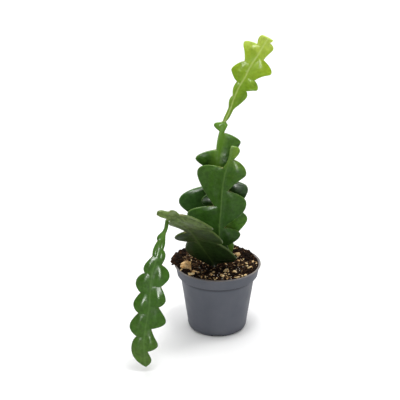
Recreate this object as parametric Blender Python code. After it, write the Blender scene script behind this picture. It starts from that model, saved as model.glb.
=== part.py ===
"""A fishbone cactus in a round plastic nursery pot: flat lobed stems and younger shoots in gritty soil.

Metres, +Z up. The origin is on the ground at the pot's axis, and the plant's front faces -Y.
"""

import math

import bmesh
import bpy
import numpy as np
from mathutils import Matrix, Vector, noise
from mathutils.bvhtree import BVHTree

MM = 0.001
GAP = 0.3

# The pot, in millimetres: radii and heights of its outer side
POT_HEIGHT = 83.3
LIP_RADIUS = 52.5
LIP_DROP = 1.1
BAND_TOP_RADIUS = 50.9
BAND_FOOT_RADIUS = 49.0
BAND_HEIGHT = 13.2
SHOULDER_RADIUS = 45.0
SHOULDER_DROP = 2.2
CORNER_RADIUS = 36.4
CORNER_HEIGHT = 9.0
BASE_RADIUS = 32.7
WALL = 1.1
FLOOR_UNDERSIDE = 2.6
FLOOR_THICKNESS = 1.4
CENTRE_PAD_RADIUS = 9.0
FOOT_WIDTH = 2.2
POT_SIDES = 48
NOTCHES = 8
NOTCH_WIDTH = 12.0
NOTCH_HEIGHT = 2.2
DRAIN_RADIUS = 3.0
DRAIN_CIRCLE = 23.0

# The soil: its level at the wall, its crown under the stems, and the mound at the left rim
SOIL_LEVEL = 81.2
SOIL_CROWN = 0.6
SOIL_RISE = 6.0
SOIL_MOUND = 5.0
MOUND_PLACE = (-46.0, 6.0)
MOUND_SPREAD = (14.0, 22.0)
LUMP_SPAN = 7.0
LUMP_SEED = 3.1
SOIL_ROUGHNESS = 1.3
SOIL_RINGS = 7
SOIL_SIDES = 36
CRUMBS = 40
CHIPS = 24
CRUMB_SIZE = (1.7, 3.2)
CHIP_SIZE = (1.8, 3.4)
CRUMB_FLATNESS = 0.85
CHIP_FLATNESS = 0.5
CRUMB_STRETCH = (0.75, 1.3)
CRUMB_TILT = 0.5
BIG_CHIP = (-34.5, -8.0, 7.0)
CLEAR_OF_STEMS = 0.8

# The stems: how far they go down into the soil, and the shape of a lobe's edge
ROOT_DEPTH = 28.0
ROOT_SHOULDER = 2.0
SHOOT_NECK = 3.0
LOBE_FULLNESS = 0.72
LOBE_PEAK = (0.35, 0.66)
BLADE_REACH = 25.0
RIPPLE = 9.0
RIB_COLUMN = 3.4
RIB_SHARE = 0.34
BLADE_SHARE = 0.62
EDGE_COLUMN = 1.0
EDGE_SHARE = 0.22
BROAD_LOBE = 10.0
NEAREST_STATIONS = 0.9
STATION_STEP = 4.6
TIP_STEP = 2.0
ROUTE_STEPS = 24

# Each stem has a route of points (x, y, z, heading of its right edge in degrees), and lobes on its
# left and right edge: notch, tip, notch, tip, notch, each as (distance along the stem, reach from the
# midrib). A root is the radius of the round foot that stands in the soil.
STEMS = {
    "stem_tall": {
        "route": [
            (11, 14, 85, 0), (11, 14, 107, 2), (10, 14, 132, 4), (8, 14, 154, 0), (3, 14, 177, -6),
            (-1, 14, 198, -4), (-1, 14, 214, 4), (1, 14, 233, 8), (4, 14, 246, 4), (7, 14, 257, 0),
        ],
        "left": [
            (0, 4), (21, 18), (29, 6), (49, 24), (57, 8), (80, 26), (88, 7), (106, 22),
            (115, 9), (129, 26), (139, 2), (150, 2.4), (162, 2.6), (168, 11), (173, 3),
        ],
        "right": [
            (0, 4), (14, 9), (22, 6), (49, 26), (62, 12), (84, 32), (97, 16), (108, 32),
            (117, 14), (151, 26), (161, 3.4), (171, 5), (173, 3),
        ],
        "thickness": 3.4, "rib": 5.6, "rib_width": 3.4, "root": 3.6, "cup": 2.4, "wave": 2.6,
    },
    "stem_front": {
        "route": [
            (3, 3, 84, 0), (2, 1, 113, 4), (2, 0, 136, 4), (4, -1, 159, 0), (5, -2, 177, -6),
            (8, -4, 199, -8), (13, -6, 217, -6), (16, -8, 234, 0),
        ],
        "left": [
            (0, 5), (19, 30), (26, 9), (58, 39), (73, 9), (110, 33), (122, 5), (139, 1.8), (155, 1.2),
        ],
        "right": [
            (0, 4), (12, 12), (21, 9), (33, 26), (45, 6), (76, 30), (94, 7), (123, 24),
            (136, 5.5), (149, 9.5), (155, 1.2),
        ],
        "thickness": 3.2, "rib": 5.8, "rib_width": 3.0, "root": 3.6, "cup": -1.6, "wave": 1.5,
    },
    "stem_short": {
        "route": [
            (-10, 29, 85, 8), (-10, 29, 107, 6), (-10, 29, 134, 2), (-10, 28, 154, 0), (-9, 27, 173, 0),
        ],
        "left": [(0, 4), (24, 24), (38, 8), (69, 37), (88, 1.2)],
        "right": [(0, 4), (14, 18), (22, 6), (42, 24), (52, 7), (72, 24), (88, 1.2)],
        "thickness": 3.4, "rib": 5.6, "rib_width": 3.4, "root": 3.6, "cup": 2.0, "wave": 1.2,
    },
    "stem_leaning": {
        "route": [
            (-4, -8, 86, -5), (-8, -11, 94, -8), (-15, -20, 109, -10), (-24, -38, 131, -12),
            (-32, -55, 150, -12), (-40, -68, 162, -8), (-49, -78, 172, 5), (-56, -84, 178, 20),
            (-63, -88, 182, 35), (-67.5, -91, 184.5, 45),
        ],
        "left": [
            (0, 7), (33, 22), (52, 13), (64, 26), (79, 7.5), (108, 15), (124, 3.4), (128, 3.4), (132, 3.4),
            (139, 3.4), (149, 1.2),
        ],
        "right": [
            (0, 5), (11, 34), (56, 22), (65, 33.5), (90, 19.5), (98.5, 33.5), (126, 11), (130, 11),
            (135, 6.5), (141, 5), (149, 1.2),
        ],
        "thickness": 3.0, "rib": 5.0, "rib_width": 3.2, "root": 3.6, "cup": 2.4, "wave": 1.2,
    },
    "shoot_hanging": {
        "grows_from": ("stem_leaning", 128, "left"),
        "route": [
            (-59.5, -86, 164, 0), (-64.5, -93, 155, 0), (-69, -101, 138, 4), (-73, -103, 124, 4),
            (-76, -105, 110, 0), (-77, -107, 94, -4), (-79, -109, 75, 0), (-83, -111, 53, 4),
            (-85, -113, 31, 0), (-83, -115, 6, 0),
        ],
        "left": [
            (0, 1.8), (10, 2.2), (18, 2.6), (25, 5), (28, 3.4), (40, 6), (46, 5), (61, 11), (67, 8),
            (79, 17), (90, 11), (104, 18), (115, 11), (131, 18), (143, 8), (157, 14.5), (179, 0.8),
        ],
        "right": [
            (0, 1.8), (10, 2.2), (18, 2.6), (32, 6), (37, 5.5), (45, 9.5), (54, 8), (67, 20), (81, 12),
            (96, 18), (105, 11), (122, 22), (132, 7), (153, 16), (161, 4), (172, 7), (179, 0.8),
        ],
        "thickness": 2.6, "rib": 3.8, "rib_width": 2.6, "root": 0, "cup": 2.0, "wave": 1.6,
    },
    "shoot_top": {
        "grows_from": ("stem_tall", 175, "tip"),
        "route": [
            (13, 13, 272, 10), (18, 12, 288, 14), (24, 11, 302, 8), (30, 10, 312, 0),
            (36, 9, 325, -4), (44, 8, 338, -6), (50, 6, 349.5, -4), (55, 4, 359, 0),
        ],
        "left": [
            (0, 1.8), (14, 2.4), (20, 2.6), (28, 4.4), (34, 2.4), (45, 5.5), (51, 5), (62.5, 18),
            (76, 9), (95, 21), (101, 6.5), (112, 9.5), (118, 1),
        ],
        "right": [
            (0, 1.8), (12, 4), (19, 5.2), (36, 16), (44, 11), (53.5, 21.5), (61, 12), (79, 25.5),
            (88, 9), (103, 12.5), (109, 5), (113, 5), (118, 1),
        ],
        "thickness": 2.2, "rib": 3.4, "rib_width": 2.2, "root": 0, "cup": -2.2, "wave": 2.2,
    },
}

COLOURS = {
    "pot_plastic": (0.115, 0.122, 0.142, 0.42),
    "soil_mix": (0.045, 0.026, 0.016, 0.95),
    "stem_green": (0.040, 0.130, 0.022, 0.38),
    "stem_olive": (0.060, 0.110, 0.030, 0.45),
    "shoot_green": (0.055, 0.190, 0.020, 0.30),
    "young_green": (0.270, 0.480, 0.050, 0.36),
}
STEM_COLOURS = {"stem_leaning": "stem_olive", "shoot_hanging": "shoot_green", "shoot_top": "young_green"}


def clear_scene():
    for obj in list(bpy.data.objects):
        bpy.data.objects.remove(obj)


def material(name):
    """The Principled material of that name, made once."""
    found = bpy.data.materials.get(name)
    if found:
        return found
    made = bpy.data.materials.new(name)
    made.use_nodes = True
    red, green, blue, roughness = COLOURS[name]
    shader = made.node_tree.nodes["Principled BSDF"]
    shader.inputs["Base Color"].default_value = (red, green, blue, 1)
    shader.inputs["Roughness"].default_value = roughness
    shader.inputs["Metallic"].default_value = 0
    return made


def add_object(name, mesh_builder, material_name, sharp_degrees=40):
    """An object whose mesh is the builder's, given in millimetres."""
    mesh = bpy.data.meshes.new(name)
    bmesh.ops.scale(mesh_builder, vec=(MM, MM, MM), verts=mesh_builder.verts)
    mesh_builder.to_mesh(mesh)
    mesh_builder.free()
    mesh.shade_smooth()
    mesh.set_sharp_from_angle(angle=math.radians(sharp_degrees))
    mesh.materials.append(material(material_name))
    obj = bpy.data.objects.new(name, mesh)
    bpy.context.scene.collection.objects.link(obj)
    return obj


def hide_cutter(obj):
    obj.hide_render = True
    obj.display_type = "WIRE"
    return obj


def boolean(obj, operation, other=None, collection=None, solver="EXACT"):
    modifier = obj.modifiers.new(operation.lower(), "BOOLEAN")
    modifier.operation = operation
    modifier.solver = solver
    if collection:
        modifier.operand_type = "COLLECTION"
        modifier.collection = collection
    else:
        modifier.object = other
    return modifier


def apply_modifiers(obj):
    graph = bpy.context.evaluated_depsgraph_get()
    shaped = bpy.data.meshes.new_from_object(obj.evaluated_get(graph))
    obj.modifiers.clear()
    obj.data = shaped


def spin_profile(profile, sides):
    """A closed solid of revolution about Z, from an outline of (radius, height) that ends on the axis."""
    bm = bmesh.new()
    points = [bm.verts.new((radius, 0, height)) for radius, height in profile]
    edges = [bm.edges.new(pair) for pair in zip(points, points[1:])]
    bmesh.ops.spin(
        bm, geom=points + edges, cent=(0, 0, 0), axis=(0, 0, 1), angle=math.tau,
        steps=sides, use_merge=True,
    )
    bmesh.ops.remove_doubles(bm, verts=bm.verts, dist=0.001)
    bmesh.ops.recalc_face_normals(bm, faces=bm.faces)
    return bm


def pot_outer_side():
    """(radius, height) up the pot's outside, from its foot to its lip."""
    corner = [
        (BASE_RADIUS + (CORNER_RADIUS - BASE_RADIUS) * math.sin(turn), CORNER_HEIGHT * (1 - math.cos(turn)))
        for turn in np.linspace(0.12, math.pi / 2, 5)
    ]
    shoulder = POT_HEIGHT - BAND_HEIGHT
    return [
        (BASE_RADIUS, 0),
        *corner,
        (SHOULDER_RADIUS, shoulder - SHOULDER_DROP),
        (BAND_FOOT_RADIUS - 0.8, shoulder - 0.5),
        (BAND_FOOT_RADIUS, shoulder + 0.6),
        (BAND_TOP_RADIUS, POT_HEIGHT - LIP_DROP - 0.8),
        (LIP_RADIUS, POT_HEIGHT - LIP_DROP),
        (LIP_RADIUS, POT_HEIGHT - 0.5),
        (LIP_RADIUS - 0.5, POT_HEIGHT),
    ]


def pot_inner_side(clearance=0.0):
    """(radius, height) down the pot's inside, from its lip to its floor, drawn in by a clearance."""
    wall = WALL + clearance
    shoulder = POT_HEIGHT - BAND_HEIGHT
    return [
        (BAND_TOP_RADIUS - wall, POT_HEIGHT),
        (BAND_FOOT_RADIUS - wall, shoulder + 1.6),
        (SHOULDER_RADIUS - wall, shoulder - SHOULDER_DROP + 0.4),
        (CORNER_RADIUS - wall, CORNER_HEIGHT),
        (BASE_RADIUS + 2.4 - wall, FLOOR_UNDERSIDE + FLOOR_THICKNESS + clearance),
    ]


def inner_radius(height):
    """The radius of the pot's inside at a height."""
    radii, heights = zip(*reversed(pot_inner_side()))
    return float(np.interp(height, heights, radii))


def make_pot():
    """A thin moulded pot: rim band, shoulder, tapered wall, notched foot ring, drain holes, centre pad."""
    foot_inner = BASE_RADIUS - FOOT_WIDTH
    profile = [
        (0, 0),
        (CENTRE_PAD_RADIUS, 0),
        (CENTRE_PAD_RADIUS + 0.6, FLOOR_UNDERSIDE),
        (foot_inner - 0.6, FLOOR_UNDERSIDE),
        (foot_inner, 0),
        *pot_outer_side(),
        *pot_inner_side(),
        (0, FLOOR_UNDERSIDE + FLOOR_THICKNESS),
    ]
    pot = add_object("pot", spin_profile(profile, POT_SIDES), "pot_plastic")
    notches = bmesh.new()
    drains = bmesh.new()
    for number in range(NOTCHES):
        turn = Matrix.Rotation(math.tau * (number - 2) / NOTCHES, 4, "Z")
        block = Matrix.Diagonal((14, NOTCH_WIDTH, 2 * NOTCH_HEIGHT, 1))
        at_foot = turn @ Matrix.Translation((BASE_RADIUS, 0, 0))
        bmesh.ops.create_cube(notches, size=1, matrix=at_foot @ block)
        bmesh.ops.create_cone(
            drains, cap_ends=True, segments=12, radius1=DRAIN_RADIUS, radius2=DRAIN_RADIUS, depth=8,
            matrix=turn @ Matrix.Translation((DRAIN_CIRCLE, 0, FLOOR_UNDERSIDE)),
        )
    for name, cutter in (("notch_cutter", notches), ("drain_cutter", drains)):
        boolean(pot, "DIFFERENCE", hide_cutter(add_object(name, cutter, "pot_plastic")))
    return pot


def smooth_route(points):
    """Positions, headings and distances along a Catmull-Rom curve through the route's points."""
    rows = np.array(points, float)
    rows = np.vstack([2 * rows[0] - rows[1], rows, 2 * rows[-1] - rows[-2]])
    curve = []
    for before, start, end, after in zip(rows, rows[1:], rows[2:], rows[3:]):
        for t in np.linspace(0, 1, ROUTE_STEPS, endpoint=False):
            bend = 2 * before - 5 * start + 4 * end - after
            twist = 3 * start - before - 3 * end + after
            curve.append(0.5 * (2 * start + (end - before) * t + bend * t**2 + twist * t**3))
    curve.append(rows[-2])
    curve = np.array(curve)
    steps = np.linalg.norm(np.diff(curve[:, :3], axis=0), axis=1)
    return curve[:, :3], np.radians(curve[:, 3]), np.concatenate([[0], np.cumsum(steps)])


class Route:
    """A stem's midrib: the place, and the across and face directions, at any distance along it."""

    def __init__(self, points):
        self.places, self.headings, self.distances = smooth_route(points)
        self.length = self.distances[-1]
        self.tangents = np.gradient(self.places, self.distances, axis=0)

    def at(self, distance):
        inside = min(max(distance, 0), self.length)
        place, tangent = (
            Vector([float(np.interp(inside, self.distances, column)) for column in rows.T])
            for rows in (self.places, self.tangents)
        )
        tangent.normalize()
        heading = float(np.interp(inside, self.distances, self.headings))
        across = Vector((math.cos(heading), math.sin(heading), 0))
        across = (across - across.dot(tangent) * tangent).normalized()
        return place + tangent * (distance - inside), across, across.cross(tangent)


def lobed_edge(lobes, distance):
    """(distance along the stem, reach) of the edge point whose row leaves the midrib at that distance."""
    for (start, low), (tip, reach), (end, high) in zip(lobes[::2], lobes[1::2], lobes[2::2]):
        if distance <= end or end == lobes[-1][0]:
            break
    share = min(max((distance - start) / (end - start), 0), 1)
    peak = min(max((tip - start) / (end - start), LOBE_PEAK[0]), LOBE_PEAK[1])
    swell = 0
    if 0 < share < 1:
        swell = math.sin(math.pi * share ** (math.log(0.5) / math.log(peak))) ** LOBE_FULLNESS
    floor = low + (high - low) * share
    lean = tip - (start + peak * (end - start))
    return distance + lean * swell, floor + (reach - floor) * swell


def stations(spec, length, step):
    """Distances along the stem at which it gets a ring: every notch and tip, with even steps between."""
    keys = {0.0, length}
    for side in ("left", "right"):
        keys |= {float(place) for place, _ in spec[side] if 0 < place < length}
        broad = [tip for tip, reach in spec[side][1::2] if reach > BROAD_LOBE]
        keys |= {tip + off for tip in broad for off in (-TIP_STEP, TIP_STEP)}
    keys = sorted(keys)
    spaced = [keys[0]]
    for key in keys[1:]:
        if key - spaced[-1] < NEAREST_STATIONS and key < length:
            continue
        count = max(1, round((key - spaced[-1]) / step))
        spaced += list(np.linspace(spaced[-1], key, count + 1)[1:])
    return spaced


def half_thickness(spec, offset, reach):
    """Half of the stem's thickness at an offset from the midrib: a blade with a round edge, and a rib."""
    blade = spec["thickness"] / 2
    inset = min(max((reach - offset) / blade, 0), 1)
    rounding = math.sqrt(1 - (1 - inset) ** 2)
    rib = (spec["rib"] / 2 - blade) * math.exp(-((offset / spec["rib_width"]) ** 2))
    return blade * rounding + rib * math.sqrt(max(1 - (offset / reach) ** 2, 0))


def columns(reach):
    """Offsets from the midrib towards one edge at which a ring has points, the edge itself last."""
    beside_rib = min(RIB_SHARE * reach, RIB_COLUMN)
    inside_edge = reach - min(EDGE_SHARE * reach, EDGE_COLUMN)
    return [beside_rib, BLADE_SHARE * reach, inside_edge, reach]


def ring_points(spec, route, distance):
    """The closed ring of a stem's skin at one station: right over the front face to left, and back."""
    front, back = [], []
    place, _, face = route.at(distance)
    rib = face * spec["rib"] / 2
    for side, sign in (("right", 1), ("left", -1)):
        edge_distance, reach = lobed_edge(spec[side], distance)
        row = []
        for offset in columns(reach)[::-1]:
            share = offset / reach
            start, across, out = route.at(distance + (edge_distance - distance) * share)
            arch = spec["cup"] * (offset / BLADE_REACH) ** 2
            ripple = spec["wave"] * (offset / BLADE_REACH) * math.sin(edge_distance / RIPPLE + sign)
            middle = start + across * sign * offset + out * (arch + ripple)
            row.append((middle, out * (half_thickness(spec, offset, reach) if share < 1 else 0)))
        front.append([middle + half for middle, half in row])
        back.append([middle - half for middle, half in row[1:]])
    right, left = front
    right_back, left_back = back
    return right + [place + rib] + left[::-1] + left_back + [place - rib] + right_back[::-1]


def root_points(spec, route, depth, count):
    """The round foot of a stem, as a ring at a depth below the start of its route."""
    place, across, _ = route.at(0)
    across = Vector((across.x, across.y, 0)).normalized()
    along = Vector((0, 0, 1)).cross(across)
    turns = [math.tau * number / count for number in range(count)]
    return [
        place - Vector((0, 0, depth)) + spec["root"] * (across * math.cos(turn) - along * math.sin(turn))
        for turn in turns
    ]


def place_ring(verts, points):
    for vert, point in zip(verts, points):
        vert.co = point


def loft(rings):
    """A closed skin through rings of equal counts: one circle, extruded from each ring to the next."""
    bm = bmesh.new()
    current = bmesh.ops.create_circle(bm, segments=len(rings[0]), radius=1)["verts"]
    edges = list(bm.edges)
    place_ring(current, rings[0])
    bmesh.ops.contextual_create(bm, geom=edges)
    for ring in rings[1:]:
        grown = bmesh.ops.extrude_edge_only(bm, edges=edges)["geom"]
        fresh = {item for item in grown if isinstance(item, bmesh.types.BMVert)}
        grown_edges = [item for item in grown if isinstance(item, bmesh.types.BMEdge)]
        edges = [edge for edge in grown_edges if fresh.issuperset(edge.verts)]
        above = {edge.other_vert(vert): vert for vert in fresh for edge in vert.link_edges}
        current = [above[vert] for vert in current]
        place_ring(current, ring)
    bmesh.ops.contextual_create(bm, geom=edges)
    bmesh.ops.triangulate(bm, faces=bm.faces)
    bmesh.ops.recalc_face_normals(bm, faces=bm.faces)
    return bm


def route_of(name):
    """The route of a stem. A shoot's starts a gap away from its parent, and leads straight off."""
    spec = STEMS[name]
    if "grows_from" not in spec:
        return Route(spec["route"])
    parent_name, distance, side = spec["grows_from"]
    parent = STEMS[parent_name]
    route = Route(parent["route"])
    distance = min(distance, route.length)
    place, across, face = route.at(distance)
    way, reach = face.cross(across), 0
    if side != "tip":
        way, reach = (-across if side == "left" else across), lobed_edge(parent[side], distance)[1]
    heading = spec["route"][0][3]
    bud = [(*(place + way * (reach + further)), heading) for further in (GAP, SHOOT_NECK)]
    return Route(bud + spec["route"])


def make_stem(name):
    spec = STEMS[name]
    route = route_of(name)
    rings = [ring_points(spec, route, distance) for distance in stations(spec, route.length, STATION_STEP)]
    if spec["root"]:
        count = len(rings[0])
        rings = [root_points(spec, route, depth, count) for depth in (ROOT_DEPTH, ROOT_SHOULDER)] + rings
    return add_object(name, loft(rings), STEM_COLOURS.get(name, "stem_green"))


def soil_height(x, y):
    """The soil's surface: a low crown, heaped up behind and at the left rim, with lumps."""
    radius = math.hypot(x, y)
    crown = SOIL_CROWN * (1 - (radius / BAND_TOP_RADIUS) ** 2)
    behind = SOIL_RISE * max(y, 0) * radius**2 / BAND_TOP_RADIUS**3
    (mound_x, mound_y), (wide, deep) = MOUND_PLACE, MOUND_SPREAD
    mound = SOIL_MOUND * math.exp(-(((x - mound_x) / wide) ** 2 + ((y - mound_y) / deep) ** 2))
    lumps = SOIL_ROUGHNESS * noise.noise(Vector((x / LUMP_SPAN, y / LUMP_SPAN, LUMP_SEED)))
    return SOIL_LEVEL + crown + behind + mound + lumps


def make_soil_body():
    """The fill of the pot, clear of its wall and floor, with a lumpy top."""
    side = [point for point in pot_inner_side(GAP) if point[1] < SOIL_LEVEL]
    rim = inner_radius(SOIL_LEVEL - SOIL_ROUGHNESS) - 1.5 * GAP
    top = [(rim * (1 - number / SOIL_RINGS), SOIL_LEVEL) for number in range(SOIL_RINGS + 1)]
    bm = spin_profile([(0, side[-1][1]), *reversed(side), *top], SOIL_SIDES)
    for vert in bm.verts:
        if vert.co.z > SOIL_LEVEL - 0.1:
            vert.co.z = soil_height(vert.co.x, vert.co.y)
    bmesh.ops.triangulate(bm, faces=bm.faces)
    return bm


def stem_trees(stems):
    """Search trees of the stems' skins, to keep the soil's crumbs clear of them."""
    graph = bpy.context.evaluated_depsgraph_get()
    return [BVHTree.FromObject(stem, graph) for stem in stems]


def near_a_stem(place, size, trees):
    for tree in trees:
        found = tree.find_nearest(Vector(place) * MM, (size + CLEAR_OF_STEMS) * MM)
        if found[0] is not None:
            return True
    return False


def crumb(rng, place, size, flatness):
    """A small rough lump, a squashed and turned icosahedron."""
    bm = bmesh.new()
    stretch = rng.uniform(*CRUMB_STRETCH, 3) * (1, 1, flatness)
    turn = Matrix.Rotation(rng.uniform(0, math.tau), 4, "Z")
    tilt = Matrix.Rotation(rng.uniform(-CRUMB_TILT, CRUMB_TILT), 4, "X")
    bmesh.ops.create_icosphere(bm, subdivisions=1, radius=size)
    pose = Matrix.Translation(place) @ turn @ tilt @ Matrix.Diagonal((*stretch, 1))
    bmesh.ops.transform(bm, matrix=pose, verts=bm.verts)
    return bm


def make_soil(stems):
    """Soil with crumbs and pale wood chips fused to its top, and a plain hole for the foot of each stem."""
    soil = add_object("soil", make_soil_body(), "soil_mix", 30)
    rng = np.random.default_rng(12)
    trees = stem_trees(stems)
    lumps = bpy.data.collections.new("lumps")
    limit = inner_radius(SOIL_LEVEL - CRUMB_SIZE[1]) - 1.5 * GAP
    wanted = [(CRUMB_SIZE, CRUMB_FLATNESS)] * CRUMBS + [(CHIP_SIZE, CHIP_FLATNESS)] * CHIPS
    places = [(*BIG_CHIP, CHIP_FLATNESS)]
    for (least, most), flatness in wanted:
        size = rng.uniform(least, most)
        radius = (limit - 1.35 * size) * math.sqrt(rng.uniform(0.03, 1))
        turn = rng.uniform(0, math.tau)
        places.append((radius * math.cos(turn), radius * math.sin(turn), size, flatness))
    for number, (x, y, size, flatness) in enumerate(places):
        place = (x, y, soil_height(x, y) + 0.15 * size * flatness)
        if near_a_stem(place, 1.3 * size, trees):
            continue
        lump = add_object(f"lump_{number}", crumb(rng, place, size, flatness), "soil_mix")
        bpy.context.scene.collection.objects.unlink(lump)
        lumps.objects.link(lump)
    bpy.context.scene.collection.children.link(lumps)
    boolean(soil, "UNION", collection=lumps, solver="MANIFOLD")
    apply_modifiers(soil)
    for lump in list(lumps.objects):
        bpy.data.objects.remove(lump)
    bpy.data.collections.remove(lumps)
    holes = bmesh.new()
    for spec in STEMS.values():
        if spec["root"]:
            x, y, z, _ = spec["route"][0]
            radius = spec["root"] + GAP
            depth = ROOT_DEPTH + GAP + 30
            middle = z - ROOT_DEPTH - GAP + depth / 2
            bmesh.ops.create_cone(
                holes, cap_ends=True, segments=16, radius1=radius, radius2=radius, depth=depth,
                matrix=Matrix.Translation((x, y, middle)),
            )
    boolean(soil, "DIFFERENCE", hide_cutter(add_object("root_cutter", holes, "soil_mix")))
    return soil


def main():
    clear_scene()
    make_pot()
    stems = [make_stem(name) for name in STEMS]
    bpy.context.view_layer.update()
    make_soil(stems)


main()
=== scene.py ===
"""The looks of a potted fishbone cactus: fleshy lobed stems, bark and coir soil, and a grey nursery pot."""

import math

import bmesh
import bpy
import numpy as np
from mathutils import Matrix, Vector, noise
from mathutils.bvhtree import BVHTree


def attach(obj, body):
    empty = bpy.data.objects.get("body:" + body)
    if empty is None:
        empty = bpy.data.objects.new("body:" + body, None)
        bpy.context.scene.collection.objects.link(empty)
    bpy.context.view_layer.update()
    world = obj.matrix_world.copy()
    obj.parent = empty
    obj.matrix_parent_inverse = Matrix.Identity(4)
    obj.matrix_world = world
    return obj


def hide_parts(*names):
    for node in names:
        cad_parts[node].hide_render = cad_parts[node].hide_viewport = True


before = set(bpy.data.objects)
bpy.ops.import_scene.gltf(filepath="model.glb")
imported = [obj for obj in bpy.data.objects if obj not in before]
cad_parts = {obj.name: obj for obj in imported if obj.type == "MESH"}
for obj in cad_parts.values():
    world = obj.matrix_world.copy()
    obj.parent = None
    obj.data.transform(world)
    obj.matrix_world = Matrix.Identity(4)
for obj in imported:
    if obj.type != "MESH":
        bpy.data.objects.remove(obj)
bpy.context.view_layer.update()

MM = 0.001
GAP = 0.3

# The photograph's view, in metres: the point looked at, how far the view looks down, and the lens
TARGET = Vector((-0.02128, 0, 0.16474))
ELEVATION = math.radians(21.584)
CAMERA_DISTANCE = 1.3
VIEW_ANGLE = math.radians(20.69)
SENSOR_WIDTH = 36

# The studio, in metres: (light, place, size, watts, whether it shows only as sheen on glossy skin)
SOFTBOXES = [
    ("ceiling_box", (0.0, 1.0, 2.8), (5.0, 6.0), 130, False),
    ("overhead_box", (0.1, -0.15, 1.2), (0.28, 0.2), 4, False),
    ("edge_sheen_box", (-0.1, 0.8, 1.2), (1.0, 0.7), 22, True),
    ("front_sheen_box", (0.04, -1.36, 0.42), (0.34, 0.56), 46, True),
]
SURROUND_STRENGTH = 0.5
FLOOR_REACH = 6.0

# The pot's outline in millimetres, as the CAD has it, turned finer
POT_HEIGHT = 83.3
LIP_RADIUS = 52.5
LIP_DROP = 1.1
BAND_TOP_RADIUS = 50.9
BAND_FOOT_RADIUS = 49.0
BAND_HEIGHT = 13.2
SHOULDER_RADIUS = 45.0
SHOULDER_DROP = 2.2
CORNER_RADIUS = 36.4
CORNER_HEIGHT = 9.0
BASE_RADIUS = 32.7
WALL = 1.1
FLOOR_UNDERSIDE = 2.6
FLOOR_THICKNESS = 1.4
CENTRE_PAD_RADIUS = 9.0
FOOT_WIDTH = 2.2
POT_SIDES = 144
NOTCHES = 8
NOTCH_WIDTH = 12.0
NOTCH_HEIGHT = 2.2
NOTCH_LENGTH = 14.0
NOTCH_ROUNDING = 1.2
DRAIN_RADIUS = 3.0
DRAIN_CIRCLE = 23.0
DRAIN_SIDES = 32

SOIL_LEVEL = 81.2
SOIL_CROWN = 0.6
SOIL_RISE = 6.0
SOIL_MOUND = 5.0
MOUND_PLACE = (-46.0, 6.0)
MOUND_SPREAD = (14.0, 22.0)
LUMP_SPAN = 7.0
LUMP_SEED = 3.1
SOIL_ROUGHNESS = 1.3
SOIL_GRAIN = 0.7
SOIL_RINGS = 44
SOIL_SIDES = 128

ROOT_DEPTH = 28.0
ROOT_SHOULDER = 2.0
CLEAR = 3.0
SHOOT_NECK = 3.0
SHOOT_OVERLAP = 1.2
LOBE_FULLNESS = 0.72
LOBE_PEAK = (0.35, 0.66)
STATION_STEP = 1.3
LEAST_STEP = 0.1
NOTCH_STEPS = (0.15, 0.45, 0.9, 1.6)
ROUTE_STEPS = 24
RIB_COLUMNS = (0.5, 1.1, 1.8, 2.7, 3.8)
BLADE_COLUMNS = 7
ROUND_COLUMNS = 4
PILLOW = 0.45
PUCKER = 1.5
END_DOME = 0.9
DOME_TURNS = (0.5, 1.0, 1.4)
BLADE_REACH = 25.0
RIPPLE = 9.0

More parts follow.
